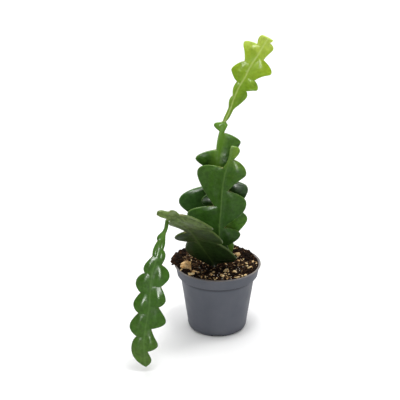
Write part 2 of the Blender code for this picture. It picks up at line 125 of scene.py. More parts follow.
# Each stem's route (x, y, z, heading of its right edge in degrees) and the lobes on its two edges, as
# notch, tip, notch, tip, notch, each (distance along the stem, reach from the midrib), as in the CAD.
# A blade's cup and wave are how far it stands out of flat; root is the radius of its foot in the soil
STEMS = {
    "stem_tall": {
        "route": [
            (11, 14, 85, 0), (11, 14, 107, 2), (10, 14, 132, 4), (8, 14, 154, 0), (3, 14, 177, -6),
            (-1, 14, 198, -4), (-1, 14, 214, 4), (1, 14, 233, 8), (4, 14, 246, 4), (7, 14, 257, 0),
        ],
        "left": [
            (0, 4), (21, 18), (29, 6), (49, 24), (57, 8), (80, 26), (88, 7), (106, 22),
            (115, 9), (129, 26), (139, 2), (150, 2.4), (162, 2.6), (168, 11), (173, 3),
        ],
        "right": [
            (0, 4), (14, 9), (22, 6), (49, 26), (62, 12), (84, 32), (97, 16), (108, 32),
            (117, 14), (151, 26), (161, 3.4), (171, 5), (173, 3),
        ],
        "thickness": 3.4, "rib": 5.6, "rib_width": 3.4, "root": 3.6, "cup": 2.4, "wave": 2.6,
    },
    "stem_front": {
        "route": [
            (3, 3, 84, 0), (2, 1, 113, 4), (2, 0, 136, 4), (4, -1, 159, 0), (5, -2, 177, -6),
            (8, -4, 199, -8), (13, -6, 217, -6), (16, -8, 234, 0),
        ],
        "left": [
            (0, 5), (19, 30), (26, 9), (58, 39), (73, 9), (110, 33), (122, 5), (139, 1.8), (155, 1.2),
        ],
        "right": [
            (0, 4), (12, 12), (21, 9), (33, 26), (45, 6), (76, 30), (94, 7), (123, 24),
            (136, 4.8), (147, 10), (155, 1.2),
        ],
        "thickness": 3.2, "rib": 5.8, "rib_width": 3.0, "root": 3.6, "cup": -1.6, "wave": 1.5,
    },
    "stem_short": {
        "route": [
            (-10, 29, 85, 8), (-10, 29, 107, 6), (-10, 29, 134, 2), (-10, 28, 154, 0), (-9, 27, 173, 0),
        ],
        "left": [(0, 4), (24, 24), (38, 8), (69, 37), (88, 1.2)],
        "right": [(0, 4), (14, 18), (22, 6), (42, 24), (52, 7), (72, 24), (88, 1.2)],
        "thickness": 3.4, "rib": 5.6, "rib_width": 3.4, "root": 3.6, "cup": 2.0, "wave": 1.2,
    },
    "stem_leaning": {
        "route": [
            (-4, -8, 86, -5), (-8, -11, 94, -8), (-15, -20, 109, -10), (-24, -38, 131, -12),
            (-32, -55, 150, -12), (-40, -68, 162, -8), (-49, -78, 172, 5), (-56, -84, 178, 20),
            (-63, -88, 182, 35), (-67.5, -91, 184.5, 45),
        ],
        "left": [
            (0, 7), (33, 22), (52, 13), (64, 26), (79, 7.5), (108, 15), (124, 3.4), (128, 3.4),
            (132, 3.4), (139, 3.4), (149, 1.2),
        ],
        "right": [
            (0, 5), (11, 34), (56, 22), (65, 33.5), (90, 19.5), (98.5, 33.5), (126, 11), (130, 11),
            (135, 6.5), (141, 5), (149, 1.2),
        ],
        "thickness": 3.0, "rib": 5.0, "rib_width": 3.2, "root": 3.6, "cup": 2.4, "wave": 1.2,
    },
    "shoot_hanging": {
        "grows_from": ("stem_leaning", 128, "left"),
        "route": [
            (-59.5, -86, 164, 0), (-64.5, -93, 155, 0), (-69, -101, 138, 4), (-73, -103, 124, 4),
            (-76, -105, 110, 0), (-77, -107, 94, -4), (-79, -109, 75, 0), (-83, -111, 53, 4),
            (-85, -113, 31, 0), (-83, -115, 6, 0),
        ],
        "left": [
            (0, 1.8), (10, 2.2), (18, 2.6), (25, 5), (28, 3.4), (40, 6), (46, 5), (61, 11), (67, 8),
            (79, 17), (90, 11), (104, 18), (115, 11), (131, 18), (143, 8), (157, 14.5), (179, 0.8),
        ],
        "right": [
            (0, 1.8), (10, 2.2), (18, 2.6), (32, 6), (37, 5.5), (45, 9.5), (54, 8), (67, 20), (81, 12),
            (96, 18), (105, 11), (122, 22), (132, 7), (153, 16), (161, 4), (172, 7), (179, 0.8),
        ],
        "thickness": 2.6, "rib": 3.8, "rib_width": 2.6, "root": 0, "cup": 2.0, "wave": 1.6, "pucker": -2.2,
    },
    "shoot_top": {
        "grows_from": ("stem_tall", 175, "tip"),
        "route": [
            (13, 13, 272, 10), (18, 12, 288, 14), (24, 11, 302, 8), (30, 10, 312, 0),
            (36, 9, 325, -4), (44, 8, 338, -6), (50, 6, 349.5, -4), (55, 4, 359, 0),
        ],
        "left": [
            (0, 1.8), (14, 2.4), (20, 2.6), (28, 4.4), (34, 2.4), (45, 5.5), (51, 5), (62.5, 18),
            (76, 9), (95, 21), (101, 6.5), (109, 9), (118, 1),
        ],
        "right": [
            (0, 1.8), (12, 4), (19, 5.2), (36, 16), (44, 11), (53.5, 21.5), (61, 12), (79, 25.5),
            (88, 9), (103, 12.5), (109, 5), (113.5, 7), (118, 1),
        ],
        "thickness": 2.2, "rib": 3.4, "rib_width": 2.2, "root": 0, "cup": -2.2, "wave": 2.2,
    },
}

# Wood chips that stand out on the soil: (x, y, length, width, turn in degrees)
PALE_CHIPS = [
    (-39.5, -16.5, 15, 12, 8), (-32.3, 5.8, 4, 3, 40), (-26.0, -26.5, 8.5, 5.5, -30),
    (-31.5, -32.5, 7.5, 5, 15), (-5.1, -27.6, 6, 3.6, 60), (-7.0, -34.5, 5, 3, 10), (9.9, -22.4, 7, 6, 80),
    (5.6, -36.5, 6, 4, -15), (20.8, -25.3, 5.5, 4.5, -20), (39.5, -14.5, 7.5, 6, 75),
    (41.5, 3.0, 6.5, 4, 15), (46.2, -1.2, 3.4, 3, -30),
    (33.1, 27.9, 5, 3.4, 20), (23.4, -38.0, 9, 2.6, 14), (32.6, -31.9, 4, 2.4, 30),
    (-15.3, -22.6, 3, 2.4, 20), (35.8, -7.2, 3.4, 3, 10), (-40.0, 6.4, 4, 3, 0), (27.0, 22.0, 8, 5, 30),
    (-43.5, -22.0, 3.4, 3, 30), (14.0, -32.0, 4, 2.4, -50), (-14.0, -37.0, 4, 2.6, 5),
    (-20.0, 33.0, 9, 6, -20), (3.0, 40.0, 8, 6, 60), (-35.0, 22.0, 7, 5, 80), (20.0, 36.0, 6, 5, 0),
]

# Heaps of crumbs at the rim: (turns in degrees, radii, height, crumbs)
HEAPS = [
    ((140, 190), (41, 56), 6.0, 460), ((15, 78), (36, 48.6), 4.0, 300),
    ((100, 135), (38, 52), 3.0, 120), ((-40, 15), (38, 48.6), 1.5, 160),
    ((78, 100), (38, 51), 3.0, 80), ((190, 230), (40, 49), 1.5, 80),
]

# The loose pieces' counts, and the least and most of their random measures in millimetres and radians
STEM_CLEARANCE = 0.7
CRUMBS = 1500
CRUMB_SIZE = (0.5, 1.7)
HEAP_CRUMB_SIZE = (0.7, 2.0)
CRUMB_STRETCH = (0.6, 1.5)
CRUMB_TINTS = (1.6, 2.6)
CRUMB_TIP = 0.9
SMALL_CHIPS = 170
SMALL_CHIP_LENGTH = (0.9, 3.5)
CHIP_FLATNESS = 0.24
CHIP_LEAN = (0.25, 0.2)
CHIP_TIP = 0.5
CHIP_SLANT = (0.8, 1, 0.45)
CHIP_CUT = (0.55, 0.95)
BIG_CHIP = 12
BIG_CHIP_LEAN = 0.6
SPECKS = 90
SPECK_SIZE = (0.3, 0.75)
FIBRES = 190
FIBRE_RADIUS = 0.2
FIBRE_STEPS = 6
FIBRE_STEP = (0.8, 1.7)
FIBRE_OVER_RIM = 0.8
FIBRE_STEER_RISE = 12
HEAP_FIBRES = ((-46, -36), (-8, 24))
HEAP_FIBRE_RADIUS = 47
SEED_SPAN = 50

# The felt pads in the stems' notches and their bristles, in millimetres and radians
PAD_SIZE = (0.45, 0.75)
PAD_INSET = 0.25
PAD_FREE_ENDS = (8, 3)
BRISTLES = (3, 6)
BRISTLE_LENGTH = (0.9, 1.7)
BRISTLE_RADII = (0.07, 0.015)
BRISTLE_TILT = 0.7


def tone(red, green, blue):
    """A colour given as it looks on a screen, 0 to 255, as the linear value that a shader takes."""
    parts = [part / 255 for part in (red, green, blue)]
    return (*(((part + 0.055) / 1.055) ** 2.4 if part > 0.04 else part / 12.92 for part in parts), 1)


class Finish:
    """A procedural material under construction, around one Principled shader."""

    def __init__(self, name, **fixed):
        self.material = bpy.data.materials.new(name)
        self.material.use_nodes = True
        self.tree = self.material.node_tree
        self.shader = self.tree.nodes["Principled BSDF"]
        for socket, value in fixed.items():
            self.shader.inputs[socket.replace("_", " ")].default_value = value

    def node(self, kind, inputs=(), **settings):
        """A node with its settings, and its inputs as values or as sockets to link."""
        made = self.tree.nodes.new(kind)
        for name, value in settings.items():
            setattr(made, name, value)
        for key, value in dict(inputs).items():
            if isinstance(value, bpy.types.NodeSocket):
                self.tree.links.new(value, made.inputs[key])
            else:
                made.inputs[key].default_value = value
        return made

    def place(self, stretch=(1, 1, 1), turn=0.0):
        """Object coordinates, stretched and turned about Z."""
        source = self.node("ShaderNodeTexCoord").outputs["Object"]
        mapping = {"Vector": source, "Scale": stretch, "Rotation": (0, 0, turn)}
        return self.node("ShaderNodeMapping", mapping).outputs["Vector"]

    def grain(self, scale, detail, rough, where=None, twist=0.0):
        """Cloudy noise, 0 to 1, at so many cells a metre."""
        inputs = {"Scale": scale, "Detail": detail, "Roughness": rough, "Distortion": twist}
        inputs["Vector"] = where or self.place()
        return self.node("ShaderNodeTexNoise", inputs).outputs["Fac"]

    def cells(self, scale, where=None):
        """The distance to the middle of the nearest of many cells."""
        inputs = {"Scale": scale, "Vector": where or self.place()}
        return self.node("ShaderNodeTexVoronoi", inputs).outputs["Distance"]

    def mark(self, name):
        """A value that the mesh carries at its vertices."""
        return self.node("ShaderNodeAttribute", attribute_name=name).outputs["Fac"]

    def combine(self, operation, *values):
        """One sum on one or two values, such as ADD or MULTIPLY."""
        return self.node("ShaderNodeMath", enumerate(values), operation=operation).outputs[0]

    def spread(self, value, low, high, to_low=0.0, to_high=1.0):
        """The value's range low to high, smoothly, as to_low to to_high."""
        inputs = {"Value": value, "From Min": low, "From Max": high, "To Min": to_low, "To Max": to_high}
        made = self.node("ShaderNodeMapRange", inputs, interpolation_type="SMOOTHSTEP")
        return made.outputs["Result"]

    def shades(self, value, stops):
        """A colour ramp of (position, colour) stops."""
        ramp = self.node("ShaderNodeValToRGB", {"Fac": value})
        elements = ramp.color_ramp.elements
        while len(elements) < len(stops):
            elements.new(0.5)
        for element, (position, colour) in zip(elements, stops):
            element.position = position
            element.color = colour
        return ramp.outputs["Color"]

    def mix(self, share, first, second, blend="MIX"):
        """The first colour with a share of the second laid over it."""
        inputs = {0: share, 6: first, 7: second}
        return self.node("ShaderNodeMix", inputs, data_type="RGBA", blend_type=blend).outputs[2]

    def feed(self, socket, value):
        """Drives one of the shader's sockets."""
        self.tree.links.new(value, self.shader.inputs[socket])

    def colour(self, value):
        self.feed("Base Color", value)

    def roughness(self, value):
        self.feed("Roughness", value)

    def relief(self, *heights):
        """Bumps laid over each other, each (height, strength, depth in millimetres)."""
        normal = None
        for height, strength, depth in heights:
            inputs = {"Height": height, "Strength": strength, "Distance": depth * MM}
            if normal:
                inputs["Normal"] = normal
            normal = self.node("ShaderNodeBump", inputs).outputs["Normal"]
        self.feed("Normal", normal)


def skin_shades(skin, clouds, along, mottle):
    """Shades from foot to tip, shifted by clouds, with darker blotches and fresher patches."""
    drift = skin.spread(clouds, 0.3, 0.7, -0.07, 0.07)
    base = skin.shades(skin.combine("ADD", skin.mark("along"), drift), along)
    blotch = skin.spread(skin.grain(210, 4, 0.65), 0.38, 0.68)
    base = skin.mix(skin.combine("MULTIPLY", blotch, mottle), base, tone(22, 40, 14), "MULTIPLY")
    fresh = skin.spread(skin.grain(60, 3, 0.5), 0.52, 0.74, 0.0, 0.22)
    return skin.mix(fresh, base, tone(150, 185, 90), "SOFT_LIGHT")


def skin_midrib(skin, clouds, base, heart, rib, line):
    """A paler heart along the middle of the blade, and the thin line of the midrib in it."""
    side = skin.combine("ABSOLUTE", skin.mark("across"))
    band = skin.combine("ADD", side, skin.spread(clouds, 0.3, 0.7, -3, 3))
    share, colour = heart
    base = skin.mix(skin.combine("MULTIPLY", skin.spread(band, 2, 11, 1.0, 0.0), share), base, colour)
    wander = skin.spread(skin.grain(260, 3, 0.6), 0.3, 0.75, 0.75, 1.35)
    ridge = skin.spread(skin.combine("MULTIPLY", side, wander), 0.3, 1.5, line, 0.0)
    return skin.mix(ridge, base, rib)


def skin_margin(skin, base, margin):
    """The worn paler edge of the lobes, corky in the notches."""
    worn = skin.spread(skin.grain(150, 4, 0.7), 0.3, 0.7, 0.35, 1.0)
    edge = skin.combine("MULTIPLY", skin.spread(skin.mark("margin"), 0.1, 1.2, 0.5, 0.0), worn)
    base = skin.mix(edge, base, margin)
    corner = skin.spread(skin.mark("margin"), 0.1, 1.2, 0.45, 0.0)
    corky = skin.combine("MULTIPLY", skin.spread(skin.mark("notch"), 0.6, 1.0), corner)
    return skin.mix(corky, base, tone(150, 140, 96))


def stem_skin(name, along, rib, margin, heart, gloss=0.3, glow=0.03, wax=0.05, mottle=0.3, line=0.6):
    """Waxy cactus skin: shades along the stem, a pale midrib and margin, mottling and fine pores."""
    skin = Finish(
        name, Specular_IOR_Level=0.08, Coat_Weight=wax, Coat_Roughness=0.2, Subsurface_Weight=glow,
        Subsurface_Radius=(0.6, 1.0, 0.3), Subsurface_Scale=0.003,
    )
    clouds = skin.grain(95, 5, 0.62, twist=0.6)
    base = skin_shades(skin, clouds, along, mottle)
    base = skin_midrib(skin, clouds, base, heart, rib, line)
    base = skin_margin(skin, base, margin)
    pores = skin.spread(skin.cells(1500), 0.0, 0.16, 0.22, 0.0)
    skin.colour(skin.mix(pores, base, tone(190, 210, 160)))
    skin.roughness(skin.spread(skin.grain(180, 4, 0.6), 0.3, 0.75, gloss - 0.07, gloss + 0.13))
    swell = skin.grain(120, 3, 0.5, twist=0.4)
    pimples = skin.grain(900, 4, 0.7)
    creases = skin.grain(1.0, 4, 0.55, where=skin.place((330, 330, 60)))
    skin.relief((swell, 0.5, 1.4), (creases, 0.25, 0.35), (pimples, 0.22, 0.12))
    return skin.material


def stem_finishes():
    """The skins of the six stems: darker towards the foot, partly older growth and partly painted shade near
    the soil; new growth yellower.
    """
    deep, mid, fresh = tone(42, 72, 28), tone(56, 94, 30), tone(68, 106, 34)
    return {
        "stem_tall": stem_skin(
            "tall_stem_skin",
            [
                (0.0, deep), (0.22, tone(86, 132, 44)), (0.45, tone(38, 68, 24)), (0.72, tone(54, 92, 28)),
                (1.0, tone(96, 140, 46)),
            ],
            rib=tone(100, 140, 56), margin=tone(120, 146, 84), heart=(0.75, tone(104, 146, 44)), line=0.45,
        ),
        "stem_front": stem_skin(
            "front_stem_skin",
            [(0.0, tone(30, 52, 20)), (0.35, mid), (0.8, fresh), (1.0, tone(122, 156, 52))],
            rib=tone(98, 130, 64), margin=tone(118, 142, 72), heart=(0.25, tone(56, 92, 26)),
        ),
        "stem_short": stem_skin(
            "back_stem_skin",
            [(0.0, deep), (0.5, tone(58, 96, 40)), (1.0, tone(66, 106, 46))],
            rib=tone(84, 114, 56), margin=tone(106, 132, 78), heart=(0.2, tone(60, 94, 40)), line=0.45,
        ),
        # The leaning stem is darkest from its foot to its middle: painted shade on its shaded underside, as
        # well as older growth.
        "stem_leaning": stem_skin(
            "leaning_stem_skin",
            [
                (0.0, tone(24, 40, 14)), (0.3, tone(30, 48, 16)), (0.56, tone(40, 56, 18)),
                (0.8, tone(88, 106, 56)), (1.0, tone(110, 130, 70)),
            ],
            rib=tone(76, 94, 44), margin=tone(96, 116, 52), heart=(0.15, tone(56, 74, 28)),
            gloss=0.42, mottle=0.4, line=0.3,
        ),
        "shoot_hanging": stem_skin(
            "hanging_shoot_skin",
            [
                (0.0, tone(88, 124, 46)), (0.25, tone(62, 102, 30)), (0.7, tone(60, 100, 24)),
                (1.0, tone(84, 114, 46)),
            ],
            rib=tone(96, 132, 62), margin=tone(60, 90, 32), heart=(0.15, tone(72, 112, 40)),
            gloss=0.24, wax=0.12, line=0.3,
        ),
        "shoot_top": stem_skin(
            "young_shoot_skin",
            [
                (0.0, tone(80, 114, 34)), (0.42, tone(116, 154, 26)), (0.75, tone(156, 186, 44)),
                (1.0, tone(204, 222, 96)),
            ],
            rib=tone(206, 222, 132), margin=tone(156, 184, 70), heart=(0.25, tone(150, 184, 50)),
            glow=0.08, mottle=0.18, line=0.45,
        ),
    }


def pot_finish():
    """Matte moulded polypropylene, blue-grey, with a lip paler from dust and a painted highlight, painted shade
    under the band, faint flow streaks and handling scuffs.
    """
    plastic = Finish("pot_plastic_matte", Specular_IOR_Level=0.2)
    clouds = plastic.grain(26, 4, 0.55)
    base = plastic.shades(clouds, [(0.3, tone(80, 83, 92)), (0.55, tone(85, 88, 97)), (0.8, tone(91, 93, 101))])
    streak = plastic.grain(1.0, 3, 0.6, where=plastic.place((140, 140, 9)))
    base = plastic.mix(plastic.spread(streak, 0.45, 0.8, 0.0, 0.2), base, tone(94, 96, 102))
    fleck = plastic.spread(plastic.grain(1300, 2, 0.5), 0.62, 0.78, 0.0, 0.25)
    base = plastic.mix(fleck, base, tone(112, 114, 122))
    height = plastic.node("ShaderNodeSeparateXYZ", {"Vector": plastic.place()}).outputs["Z"]
    # The top of the lip paler and browner: partly dust, partly a painted highlight where the rim faces up.
    lip = plastic.spread(height, (POT_HEIGHT - 0.9) * MM, (POT_HEIGHT - 0.2) * MM)
    lip_dust_and_highlight = plastic.spread(plastic.grain(130, 5, 0.7), 0.3, 0.62, 0.35, 0.95)
    base = plastic.mix(plastic.combine("MULTIPLY", lip, lip_dust_and_highlight), base, tone(112, 104, 96))
    # Painted shade: a dark blue-grey band on the wall just under the rim band's step, where it lies in shadow.
    step = (POT_HEIGHT - BAND_HEIGHT - SHOULDER_DROP) * MM
    painted_band_shade = plastic.combine(
        "MULTIPLY", plastic.spread(height, step - 4.5 * MM, step - 0.5 * MM, 0.0, 0.7),
        plastic.spread(height, step + 0.2 * MM, step + 1.4 * MM, 1.0, 0.0),
    )
    base = plastic.mix(painted_band_shade, base, tone(40, 42, 50))
    stain = plastic.combine(
        "MULTIPLY", plastic.spread(height, (POT_HEIGHT - 9) * MM, (POT_HEIGHT - 1) * MM, 0.0, 0.4),
        plastic.spread(plastic.grain(75, 5, 0.7), 0.55, 0.72),
    )
    base = plastic.mix(stain, base, tone(112, 102, 92))
    foot = plastic.spread(height, 0.0, 8 * MM, 0.45, 0.0)
    base = plastic.mix(foot, base, tone(62, 64, 70))
    scratch = plastic.cells(1.0, where=plastic.place((60, 60, 700), 0.4))
    scratch = plastic.spread(scratch, 0.0, 0.035, 0.25, 0.0)
    base = plastic.mix(scratch, base, tone(118, 120, 128))
    plastic.colour(base)
    plastic.roughness(plastic.spread(plastic.grain(60, 4, 0.6), 0.3, 0.7, 0.46, 0.6))
    plastic.relief((plastic.grain(14, 2, 0.5), 0.35, 1.0), (plastic.grain(2400, 2, 0.5), 0.2, 0.05))
    return plastic.material


def soil_finish():
    """Dark damp peat with brown bark dust and paler grit."""
    soil = Finish("peat_bed", Specular_IOR_Level=0.03)
    fine = soil.grain(700, 6, 0.7)
    stops = [
        (0.32, tone(16, 11, 8)), (0.5, tone(46, 31, 21)), (0.64, tone(84, 58, 38)), (0.8, tone(120, 90, 62)),
    ]
    base = soil.shades(fine, stops)
    damp = soil.spread(soil.grain(90, 4, 0.6), 0.4, 0.7, 0.0, 0.7)
    base = soil.mix(damp, base, tone(18, 12, 8), "MULTIPLY")
    soil.colour(base)
    soil.roughness(soil.spread(fine, 0.3, 0.7, 0.75, 0.98))
    soil.relief((soil.grain(420, 5, 0.7), 1.0, 1.2), (soil.cells(1400), 0.6, 0.4))
    return soil.material


def crumb_finish():
    """Bark and peat crumbs, from near black through red brown to tan, one shade a crumb."""
    crumbs = Finish("bark_crumbs", Specular_IOR_Level=0.03)
    shade = crumbs.mark("shade")
    drift = crumbs.spread(crumbs.grain(900, 5, 0.7), 0.25, 0.75, -0.16, 0.16)
    stops = [
        (0.0, tone(10, 7, 5)), (0.42, tone(30, 20, 13)), (0.7, tone(58, 36, 22)), (0.88, tone(84, 56, 34)),
        (1.0, tone(128, 94, 60)),
    ]
    crumbs.colour(crumbs.shades(crumbs.combine("ADD", shade, drift), stops))
    crumbs.roughness(crumbs.spread(crumbs.grain(300, 3, 0.6), 0.3, 0.7, 0.6, 0.92))
    crumbs.relief((crumbs.grain(1100, 5, 0.75), 0.9, 0.35))
    return crumbs.material


def chip_finish():
    """Pale softwood chips: cream to tan with darker grain lines along the chip and dirty hollows."""
    wood = Finish("wood_chips", Specular_IOR_Level=0.1)
    cut = wood.node("ShaderNodeUVMap", uv_map="grain").outputs["UV"]
    lines = wood.node("ShaderNodeMapping", {"Vector": cut, "Scale": (130, 900, 1)}).outputs["Vector"]
    grain = wood.grain(1.0, 5, 0.65, where=lines, twist=0.4)
    stops = [
        (0.3, tone(126, 78, 40)), (0.41, tone(208, 160, 98)), (0.52, tone(240, 214, 158)),
        (0.68, tone(252, 242, 214)),
    ]
    base = wood.shades(grain, stops)
    toasted = wood.spread(wood.mark("shade"), 0.3, 1.0, 0.0, 0.55)
    base = wood.mix(toasted, base, tone(226, 178, 122), "MULTIPLY")
    dirt = wood.spread(wood.grain(380, 5, 0.75), 0.52, 0.64, 0.0, 0.75)
    base = wood.mix(dirt, base, tone(92, 62, 40))
    wood.colour(base)
    wood.roughness(wood.spread(grain, 0.2, 0.8, 0.7, 0.9))
    wood.relief((grain, 0.9, 0.5), (wood.grain(1600, 3, 0.6), 0.4, 0.15))
    return wood.material


def fibre_finish():
    """Coir fibres, from dark brown to straw."""
    fibre = Finish("coir_fibre", Specular_IOR_Level=0.1)
    drift = fibre.spread(fibre.grain(350, 3, 0.6), 0.3, 0.7, -0.12, 0.12)
    stops = [(0.0, tone(48, 30, 18)), (0.5, tone(104, 70, 42)), (1.0, tone(196, 160, 112))]
    fibre.colour(fibre.shades(fibre.combine("ADD", fibre.mark("shade"), drift), stops))
    fibre.roughness(fibre.spread(fibre.grain(900, 3, 0.6), 0.3, 0.7, 0.5, 0.75))
    fibre.relief((fibre.grain(2500, 3, 0.6), 0.6, 0.08))
    return fibre.material


def speck_finish():
    """Chalky white perlite."""
    speck = Finish("perlite", Specular_IOR_Level=0.35)
    stops = [(0.3, tone(190, 178, 158)), (0.6, tone(240, 236, 226))]
    speck.colour(speck.shades(speck.grain(1500, 5, 0.7), stops))
    speck.roughness(speck.spread(speck.grain(800, 3, 0.6), 0.3, 0.7, 0.75, 0.95))
    speck.relief((speck.cells(3000), 0.9, 0.25))
    return speck.material


def areole_finish():
    """The felt and short bristles in a stem's notches, cream to brown."""
    felt = Finish("areole_felt", Specular_IOR_Level=0.3, Sheen_Weight=0.4, Sheen_Roughness=0.5)
    stops = [(0.3, tone(150, 128, 92)), (0.7, tone(226, 216, 186))]
    felt.colour(felt.shades(felt.grain(2400, 4, 0.7), stops))
    felt.roughness(felt.spread(felt.grain(1500, 3, 0.6), 0.3, 0.7, 0.7, 0.95))
    felt.relief((felt.grain(4000, 4, 0.7), 0.8, 0.12))
    return felt.material


def link_object(name, data):
    """A new object in the scene, around its mesh, lens or light."""
    made = bpy.data.objects.new(name, data)
    bpy.context.scene.collection.objects.link(made)
    return made


def mesh_object(name, shape):
    """A new object in the scene from a bmesh, which is used up."""
    mesh = bpy.data.meshes.new(name)
    shape.to_mesh(mesh)
    shape.free()
    return link_object(name, mesh)


def add_piece(name, shape, finish, stands_for=None, smooth=True):
    """A piece from a bmesh in millimetres: its mesh in place, its finish, and what it rides on."""
    bmesh.ops.scale(shape, vec=(MM, MM, MM), verts=shape.verts)
    piece = mesh_object(name, shape)
    if smooth:
        piece.data.shade_smooth()
    piece.data.materials.append(finish)
    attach(piece, "root")
    if stands_for:
        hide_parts(stands_for)
    return piece


def spin_profile(profile, sides):
    """A closed solid of revolution about Z from an outline of (radius, height)."""
    shape = bmesh.new()
    points = [shape.verts.new((radius, 0, height)) for radius, height in profile]
    edges = [shape.edges.new(pair) for pair in zip(points, points[1:])]
    bmesh.ops.spin(
        shape, geom=points + edges, cent=(0, 0, 0), axis=(0, 0, 1), angle=math.tau, steps=sides,
        use_merge=True,
    )
    bmesh.ops.remove_doubles(shape, verts=shape.verts, dist=0.001)
    bmesh.ops.recalc_face_normals(shape, faces=shape.faces)
    return shape


def pot_outer_side():
    """(radius, height) up the pot's outside, from its foot to its rounded lip."""
    corner = [
        (BASE_RADIUS + (CORNER_RADIUS - BASE_RADIUS) * math.sin(turn), CORNER_HEIGHT * (1 - math.cos(turn)))
        for turn in np.linspace(0.06, math.pi / 2, 14)
    ]
    shoulder = POT_HEIGHT - BAND_HEIGHT
    under_lip = POT_HEIGHT - LIP_DROP
    return [
        (BASE_RADIUS - 0.3, 0), (BASE_RADIUS, 0.15), *corner,
        (SHOULDER_RADIUS - 0.1, shoulder - SHOULDER_DROP - 0.6),
        (SHOULDER_RADIUS + 0.25, shoulder - SHOULDER_DROP + 0.1),
        (BAND_FOOT_RADIUS - 1.2, shoulder - 0.75),
        (BAND_FOOT_RADIUS - 0.5, shoulder - 0.4),
        (BAND_FOOT_RADIUS - 0.1, shoulder),
        (BAND_FOOT_RADIUS, shoulder + 0.6),
        (BAND_TOP_RADIUS - 0.08, under_lip - 1.6),
        (BAND_TOP_RADIUS + 0.1, under_lip - 0.7),
        (LIP_RADIUS - 0.35, under_lip - 0.1),
        (LIP_RADIUS - 0.05, under_lip + 0.25),
        (LIP_RADIUS, under_lip + 0.7),
        (LIP_RADIUS - 0.15, POT_HEIGHT - 0.35),
        (LIP_RADIUS - 0.5, POT_HEIGHT - 0.06),
        (LIP_RADIUS - 0.9, POT_HEIGHT),
    ]


def pot_inner_side(clearance=0.0):
    """(radius, height) down the pot's inside, from its lip to its floor, drawn in by a clearance."""
    wall = WALL + clearance
    shoulder = POT_HEIGHT - BAND_HEIGHT
    return [
        (BAND_TOP_RADIUS - wall, POT_HEIGHT),
        (BAND_FOOT_RADIUS - wall, shoulder + 1.6),
        (SHOULDER_RADIUS - wall, shoulder - SHOULDER_DROP + 0.4),
        (CORNER_RADIUS - wall, CORNER_HEIGHT),
        (BASE_RADIUS + 2.4 - wall, FLOOR_UNDERSIDE + FLOOR_THICKNESS + clearance),
    ]


def inner_radius(height):
    """The radius of the pot's inside at a height."""
    radii, heights = zip(*reversed(pot_inner_side()))
    return float(np.interp(height, heights, radii))


def soil_edge():
    """How far loose pieces reach on the soil, clear of the pot's wall."""
    return inner_radius(SOIL_LEVEL) - GAP


def cut_away(piece, shape):
    """Takes a shape, in millimetres, out of a piece's mesh."""
    bmesh.ops.scale(shape, vec=(MM, MM, MM), verts=shape.verts)
    cutter = mesh_object("cutter", shape)
    modifier = piece.modifiers.new("cut", "BOOLEAN")
    modifier.operation, modifier.solver, modifier.object = "DIFFERENCE", "EXACT", cutter
    bpy.context.view_layer.update()
    graph = bpy.context.evaluated_depsgraph_get()
    shaped = bpy.data.meshes.new_from_object(piece.evaluated_get(graph))
    piece.modifiers.clear()
    piece.data = shaped
    bpy.data.objects.remove(cutter)


def pot_cutters():
    """The round-topped notches in the foot ring and the drain holes beside them, to be cut away."""
    cutters = bmesh.new()
    for number in range(NOTCHES):
        turn = Matrix.Rotation(math.tau * (number - 2) / NOTCHES, 4, "Z")
        size = Matrix.Diagonal((NOTCH_LENGTH, NOTCH_WIDTH, 2 * NOTCH_HEIGHT, 1))
        bmesh.ops.create_cube(cutters, size=1, matrix=turn @ Matrix.Translation((BASE_RADIUS, 0, 0)) @ size)
        bmesh.ops.create_cone(
            cutters, cap_ends=True, segments=DRAIN_SIDES, radius1=DRAIN_RADIUS, radius2=DRAIN_RADIUS, depth=8,
            matrix=turn @ Matrix.Translation((DRAIN_CIRCLE, 0, FLOOR_UNDERSIDE)),
        )
    corners = [
        edge for edge in cutters.edges
        if edge.calc_length() > NOTCH_LENGTH - 1
        and all(abs(vert.co.z - NOTCH_HEIGHT) < 0.01 for vert in edge.verts)
    ]
    bmesh.ops.bevel(
        cutters, geom=corners, offset=NOTCH_ROUNDING, segments=4, profile=0.5, affect="EDGES", material=-1,
        clamp_overlap=True,
    )
    return cutters


def make_pot():
    """The pot's shell, turned fine, with a foot ring cut by notches, drain holes and a raised floor."""
    foot_inner = BASE_RADIUS - FOOT_WIDTH
    lip_inner = BAND_TOP_RADIUS - WALL
    profile = [
        (0, 0), (CENTRE_PAD_RADIUS, 0), (CENTRE_PAD_RADIUS + 0.6, FLOOR_UNDERSIDE),
        (foot_inner - 0.6, FLOOR_UNDERSIDE), (foot_inner, 0), *pot_outer_side(),
        (lip_inner + 0.5, POT_HEIGHT - 0.05), (lip_inner + 0.1, POT_HEIGHT - 0.35),
        *pot_inner_side()[1:], (0, FLOOR_UNDERSIDE + FLOOR_THICKNESS),
    ]
    pot = add_piece("pot_shell", spin_profile(profile, POT_SIDES), pot_finish(), "pot")
    cut_away(pot, pot_cutters())
    pot.data.set_sharp_from_angle(angle=math.radians(35))


def soil_height(x, y):
    """The soil's surface: a low crown, heaped up behind and at the left rim, with lumps."""
    radius = math.hypot(x, y)
    crown = SOIL_CROWN * (1 - (radius / BAND_TOP_RADIUS) ** 2)
    behind = SOIL_RISE * max(y, 0) * radius**2 / BAND_TOP_RADIUS**3
    (mound_x, mound_y), (wide, deep) = MOUND_PLACE, MOUND_SPREAD
    mound = SOIL_MOUND * math.exp(-(((x - mound_x) / wide) ** 2 + ((y - mound_y) / deep) ** 2))
    lumps = SOIL_ROUGHNESS * noise.noise(Vector((x / LUMP_SPAN, y / LUMP_SPAN, LUMP_SEED)))
    return SOIL_LEVEL + crown + behind + mound + lumps


